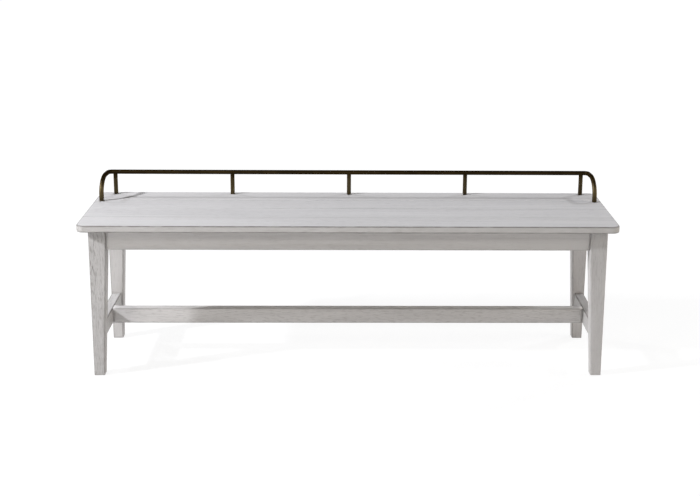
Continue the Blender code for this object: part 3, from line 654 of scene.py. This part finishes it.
def skin(rings, is_ring=False):
    """Closed mesh over a row of rings of points, with its ends filled or, on a ring, joined."""
    shape = bmesh.new()
    rows = [[shape.verts.new(point) for point in ring] for ring in rings]
    pairs = list(zip(rows, rows[1:]))
    if is_ring:
        pairs.append((rows[-1], rows[0]))
    else:
        shape.faces.new(rows[0])
        shape.faces.new(rows[-1])
    for row, following in pairs:
        for index in range(len(row)):
            other = (index + 1) % len(row)
            shape.faces.new((row[index], row[other], following[other], following[index]))
    bmesh.ops.recalc_face_normals(shape, faces=shape.faces)
    return shape


def circle(centre, first, second, radius):
    """Ring of points about a centre; the radius may be a function of the angle."""
    points = []
    for step in range(TURNED_SIDES):
        angle = 2 * math.pi * step / TURNED_SIDES
        reach = radius(angle) if callable(radius) else radius
        points.append(centre + reach * (first * math.cos(angle) + second * math.sin(angle)))
    return points


def turned(node, direction):
    """Foot, length and radius of a turned node along its axis, with two vectors square to that axis."""
    low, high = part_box(node)
    centre = (low + high) / 2
    places = [vert.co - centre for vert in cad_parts[node].data.vertices]
    heights = [place.dot(direction) for place in places]
    spokes = [place - direction * height for place, height in zip(places, heights)]
    longest = max(spokes, key=lambda spoke: spoke.length)
    first = longest.normalized()
    foot = centre + direction * min(heights)
    return foot, max(heights) - min(heights), longest.length, first, direction.cross(first)


def lathe(profile, foot, direction, first, second):
    """Rings for a profile of (radius, height) points."""
    return [circle(foot + direction * height, first, second, radius) for radius, height in profile]


def quarter(radius, height):
    """Profile of a quarter ellipse, from close to the axis at height 0 out to the radius."""
    points = []
    for step in range(HEAD_STEPS + 1):
        angle = math.pi / 2 * max(step, HEAD_FIRST_STEP) / HEAD_STEPS
        points.append((radius * math.sin(angle), height * (1 - math.cos(angle))))
    return points


# Gallery rail and posts

def bend_points(before, corner, after, radius):
    """Points of the arc that rounds the corner between two straight runs."""
    arriving = (corner - before).normalized()
    leaving = (after - corner).normalized()
    turn = arriving.angle(leaving)
    start = corner - arriving * radius * math.tan(turn / 2)
    inward = (leaving - arriving * arriving.dot(leaving)).normalized()
    centre = start + inward * radius
    points = []
    for step in range(BEND_STEPS + 1):
        angle = turn * step / BEND_STEPS
        points.append(centre + radius * (arriving * math.sin(angle) - inward * math.cos(angle)))
    return points


def run_points(start, end):
    """Points along a straight run, without its two ends."""
    count = max(1, round((end - start).length / RUN_SPACING))
    return [start.lerp(end, step / count) for step in range(1, count)]


def rail_half(foot, side, axis):
    """Centre line from one foot up, back and a little inwards, and round the corner to the back run."""
    shoulder = Vector((foot.x, foot.y, axis.z))
    corner = Vector((foot.x - side * RAIL_RETURN_SPLAY, axis.y, axis.z))
    foot_bend = bend_points(foot, shoulder, corner, RAIL_FOOT_BEND_RADIUS)
    corner_bend = bend_points(shoulder, corner, axis, RAIL_CORNER_BEND_RADIUS)
    path = [foot] + run_points(foot, foot_bend[0]) + foot_bend
    return path + run_points(foot_bend[-1], corner_bend[0]) + corner_bend


def swept_rings(path, radius, first):
    """Rings square to a path, carried round its bends without twist."""
    rings = []
    for index, point in enumerate(path):
        before = path[max(index - 1, 0)]
        after = path[min(index + 1, len(path) - 1)]
        tangent = (after - before).normalized()
        first = (first - tangent * first.dot(tangent)).normalized()
        rings.append(circle(point, first, tangent.cross(first), radius))
    return rings


def bored_end(ring, outward):
    """Rings that carry the end of a bar over its eased edge and into its screw hole."""
    centre = sum(ring, Vector()) / len(ring)
    radius = (ring[0] - centre).length

    def resized(new_radius, shift):
        return [centre + outward * shift + (point - centre) * (new_radius / radius) for point in ring]
    return [resized(radius - END_EASE, END_EASE), resized(BORE_RADIUS, END_EASE),
            resized(BORE_RADIUS, END_EASE - BORE_DEPTH)]


def build_gallery():
    low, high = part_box("gallery_rail")
    axis = Vector((0, high.y - RAIL_RADIUS, high.z - RAIL_RADIUS))
    halves = []
    for side in SIDES.values():
        foot = Vector((side * (high.x - RAIL_RADIUS), low.y + RAIL_RADIUS, low.z + END_EASE))
        halves.append(rail_half(foot, side, axis))
    path = halves[0] + run_points(halves[0][-1], halves[1][-1]) + halves[1][::-1]
    rings = swept_rings(path, RAIL_RADIUS, RIGHT)
    rings = bored_end(rings[0], -UP)[::-1] + rings + bored_end(rings[-1], -UP)
    add_piece("gallery_rail", mesh_from(skin(rings), "gallery_rail_finish"), BRONZE)
    for post in POSTS:
        build_post(post, axis)


def build_post(node, rail_axis):
    """Round post whose top is coped to the underside of the rail."""
    low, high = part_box(node)
    foot = Vector(((low.x + high.x) / 2, (low.y + high.y) / 2, low.z + END_EASE))
    saddle = RAIL_RADIUS + SADDLE_GAP
    wall = circle(foot, RIGHT, BACK, (high.x - low.x) / 2)

    def under_rail(point):
        return Vector((point.x, point.y, rail_axis.z - math.sqrt(saddle ** 2 - (point.y - rail_axis.y) ** 2)))
    rings = bored_end(wall, -UP)[::-1] + [wall]
    for share in SADDLE_RINGS:
        rings.append([under_rail(foot.lerp(point, share)) for point in wall])
    add_piece(node, mesh_from(skin(rings), node + "_finish"), BRONZE)


# Fasteners and glides

def add_steel(node, shape):
    add_piece(node, mesh_from(shape, node + "_finish"), ZINC)


def cross_recess(foot, head_radius):
    """Cutter for the crossed slots that a screwdriver turns, tapering into the head."""
    arm = RECESS_LENGTH_SHARE * head_radius
    half = RECESS_WIDTH_SHARE * head_radius
    outline = []
    for turn in range(4):
        angle = math.pi / 2 * turn
        for across, along in ((half, half), (half, arm), (-half, arm)):
            outline.append((across * math.cos(angle) - along * math.sin(angle),
                            across * math.sin(angle) + along * math.cos(angle)))
    rings = []
    for share, height in ((1.0, -RECESS_DEPTH), (RECESS_TAPER, RECESS_DEPTH)):
        rings.append([foot + Vector((share * x, share * y, height)) for x, y in outline])
    return skin(rings)


def cut_mesh(mesh, tool_shape):
    """Mesh with a shape cut out of it."""
    holder = bpy.data.objects.new("holder", mesh)
    tool = bpy.data.objects.new("tool", mesh_from(tool_shape, "tool"))
    for item in (holder, tool):
        bpy.context.scene.collection.objects.link(item)
    cut = holder.modifiers.new("recess", "BOOLEAN")
    cut.operation = "DIFFERENCE"
    cut.object = tool
    evaluated = holder.evaluated_get(bpy.context.evaluated_depsgraph_get())
    result = bpy.data.meshes.new_from_object(evaluated)
    for item in (holder, tool):
        bpy.data.objects.remove(item)
    return result


def build_screw(node, head_height, shank_radius, tip_length):
    """Screw that points up, with a crowned head and a crossed recess under it."""
    foot, length, head_radius, first, second = turned(node, UP)
    profile = quarter(head_radius, HEAD_CROWN_SHARE * head_height)
    profile += [(head_radius, head_height), (shank_radius, head_height), (shank_radius, length - tip_length),
                (TIP_SHARE * shank_radius, length)]
    mesh = mesh_from(skin(lathe(profile, foot, UP, first, second)), node + "_finish")
    add_piece(node, cut_mesh(mesh, cross_recess(foot, head_radius)), ZINC)


def build_bolt(node, inward):
    """Hanger bolt with a machine thread on the end that takes the nut."""
    foot, length, radius, first, second = turned(node, inward)
    tip = BOLT_TIP_SHARE * radius
    rings = lathe([(tip, 0), (radius, radius)], foot, inward, first, second)
    start = length - THREAD_LENGTH
    steps = round((THREAD_LENGTH - (radius - tip)) / THREAD_PITCH * THREAD_STEPS)
    for step in range(steps + 1):
        turns = step / THREAD_STEPS

        def thread(angle):
            phase = (turns - angle / (2 * math.pi)) % 1.0
            return radius - THREAD_DEPTH * abs(2 * phase - 1)
        rings.append(circle(foot + inward * (start + turns * THREAD_PITCH), first, second, thread))
    rings.append(circle(foot + inward * length, first, second, tip))
    add_steel(node, skin(rings))


def build_nut(node, inward):
    """Hexagon nut with its corners turned off at both faces."""
    foot, height, corner_radius, first, second = turned(node, inward)
    flat = corner_radius * math.cos(math.pi / 6)
    face = NUT_FACE_SHARE * flat

    def hexagon(angle):
        return flat / math.cos(angle % (math.pi / 3) - math.pi / 6)

    def corner_ring(from_foot, sign):
        points = []
        for point in circle(foot, first, second, hexagon):
            drop = ((point - foot).length - face) * math.tan(NUT_CHAMFER)
            points.append(point + inward * (from_foot + sign * drop))
        return points
    rings = lathe([(BOLT_HOLE_RADIUS, 0), (face, 0)], foot, inward, first, second)
    rings += [corner_ring(0, 1), corner_ring(height, -1)]
    rings += lathe([(face, height), (BOLT_HOLE_RADIUS, height)], foot, inward, first, second)
    add_steel(node, skin(rings, is_ring=True))


def build_washer(node, inward):
    foot, height, radius, first, second = turned(node, inward)
    profile = [(BOLT_HOLE_RADIUS, 0), (radius - END_EASE, 0), (radius, END_EASE),
               (radius, height - END_EASE), (radius - END_EASE, height), (BOLT_HOLE_RADIUS, height)]
    add_steel(node, skin(lathe(profile, foot, inward, first, second), is_ring=True))


def build_glide(node):
    """Round glide with its own nail."""
    foot, length, radius, first, second = turned(node, UP)
    profile = [(GLIDE_CENTRE_SHARE * radius, 0), (radius - GLIDE_EASE, 0),
               (radius - GLIDE_EASE / 3, GLIDE_EASE / 3), (radius, GLIDE_EASE),
               (radius, GLIDE_THICKNESS), (GLIDE_NAIL_RADIUS, GLIDE_THICKNESS),
               (GLIDE_NAIL_RADIUS, length - GLIDE_NAIL_RADIUS), (TIP_SHARE * GLIDE_NAIL_RADIUS, length)]
    mesh = mesh_from(skin(lathe(profile, foot, UP, first, second)), node + "_finish")
    add_piece(node, mesh, GLIDE_PLASTIC)


def build_fasteners():
    for corner, outward in CORNERS.items():
        inward = -outward.normalized()
        build_bolt(corner + "_hanger_bolt", inward)
        build_nut(corner + "_nut", inward)
        build_washer(corner + "_washer", inward)
        build_glide(corner + "_foot_glide")
    for side in SIDES:
        build_screw(side + "_rail_foot_screw", **RAIL_SCREW)
        for number in range(1, len(BOARDS) + 1):
            build_screw(f"{side}_seat_screw_{number}", **SEAT_SCREW)
    for number in range(1, len(POSTS) + 1):
        build_screw(f"gallery_post_screw_{number}", **RAIL_SCREW)


# Stage, lamps and camera

def build_floor():
    """Pale floor that the camera sees as white, with the bench's shadow on it."""
    material, tree, shader = new_material("pale_floor")
    shader.inputs["Base Color"].default_value = scaled_colour(WHITE, FLOOR_BOUNCE)
    shader.inputs["Roughness"].default_value = 1.0
    shader.inputs["Specular IOR Level"].default_value = 0.0
    shaded = add_node(tree, "ShaderNodeBsdfDiffuse", {"Color": scaled_colour(WHITE, FLOOR_TINT)})
    place = surface(tree, "Object")
    reach = add_node(tree, "ShaderNodeVectorMath", {0: place}, operation="LENGTH").outputs["Value"]
    fade = ramp(tree, reach, FLOOR_FADE_START, FLOOR_FADE_END, FLOOR_GLOW_NEAR, FLOOR_GLOW_FAR)
    glow = add_node(tree, "ShaderNodeEmission", {"Color": WHITE, "Strength": fade})
    white = add_node(tree, "ShaderNodeAddShader", {0: shaded.outputs[0], 1: glow.outputs[0]})
    path = add_node(tree, "ShaderNodeLightPath")
    seen = maths(tree, "MAXIMUM", path.outputs["Is Camera Ray"], path.outputs["Is Glossy Ray"])
    mixed = add_node(tree, "ShaderNodeMixShader", {0: seen, 1: shader.outputs[0], 2: white.outputs[0]})
    tree.links.new(mixed.outputs[0], tree.nodes["Material Output"].inputs["Surface"])

    shape = bmesh.new()
    corners = []
    for x, y in ((-1, -1), (1, -1), (1, 1), (-1, 1)):
        corners.append(shape.verts.new((x * FLOOR_HALF_SIZE, y * FLOOR_HALF_SIZE, -FLOOR_DROP)))
    shape.faces.new(corners)
    mesh = mesh_from(shape, "floor")
    mesh.materials.append(material)
    floor = bpy.data.objects.new("floor", mesh)
    bpy.context.scene.collection.objects.link(floor)


def build_lamps():
    for name, place, size, watts, colour in LAMPS:
        light = bpy.data.lights.new(name, "AREA")
        light.shape = "DISK"
        light.size = size
        light.energy = watts
        light.color = colour
        lamp = bpy.data.objects.new(name, light)
        lamp.location = place
        lamp.rotation_euler = (LAMP_AIM - Vector(place)).to_track_quat("-Z", "Y").to_euler()
        bpy.context.scene.collection.objects.link(lamp)


def build_world():
    """Studio that is brightest round the horizon, behind a white backdrop that only the camera sees."""
    world = bpy.data.worlds.new("studio")
    bpy.context.scene.world = world
    world.use_nodes = True
    tree = world.node_tree
    horizon = add_node(tree, "ShaderNodeBackground", {"Color": HORIZON_COLOUR, "Strength": HORIZON_STRENGTH})
    zenith = add_node(tree, "ShaderNodeBackground", {"Color": ZENITH_COLOUR, "Strength": ZENITH_STRENGTH})
    direction = add_node(tree, "ShaderNodeTexCoord").outputs["Generated"]
    height = ramp(tree, split(tree, direction)["Z"], HORIZON_CLIMB, ZENITH_CLIMB)
    soft = add_node(tree, "ShaderNodeMixShader", {0: height, 1: horizon.outputs[0], 2: zenith.outputs[0]})
    white = tree.nodes["Background"]
    white.inputs["Color"].default_value = WHITE
    seen = add_node(tree, "ShaderNodeLightPath").outputs["Is Camera Ray"]
    mixed = add_node(tree, "ShaderNodeMixShader", {0: seen, 1: soft.outputs[0], 2: white.outputs[0]})
    tree.links.new(mixed.outputs[0], tree.nodes["World Output"].inputs["Surface"])


def build_camera():
    camera_data = bpy.data.cameras.new("camera")
    camera_data.sensor_fit = "HORIZONTAL"
    camera_data.sensor_width = SENSOR_WIDTH
    camera_data.lens = FOCAL_PIXELS / PHOTO_WIDTH * SENSOR_WIDTH
    camera_data.shift_x = (PHOTO_WIDTH / 2 - PRINCIPAL_X) / PHOTO_WIDTH
    camera_data.shift_y = (PRINCIPAL_Y - PHOTO_HEIGHT / 2) / PHOTO_WIDTH
    camera = bpy.data.objects.new("camera", camera_data)
    forward = Vector((math.sin(CAMERA_YAW) * math.cos(CAMERA_PITCH),
                      math.cos(CAMERA_YAW) * math.cos(CAMERA_PITCH), -math.sin(CAMERA_PITCH)))
    level_right = Vector((math.cos(CAMERA_YAW), -math.sin(CAMERA_YAW), 0))
    level_down = forward.cross(level_right)
    right = math.cos(CAMERA_ROLL) * level_right + math.sin(CAMERA_ROLL) * level_down
    down = math.cos(CAMERA_ROLL) * level_down - math.sin(CAMERA_ROLL) * level_right
    turn = Matrix((right, -down, -forward)).transposed().to_4x4()
    camera.matrix_world = Matrix.Translation(CAMERA_PLACE) @ turn
    bpy.context.scene.collection.objects.link(camera)
    bpy.context.scene.camera = camera


build_wood()
build_gallery()
build_fasteners()
build_floor()
build_lamps()
build_world()
build_camera()
bpy.context.scene.view_settings.view_transform = "Standard"
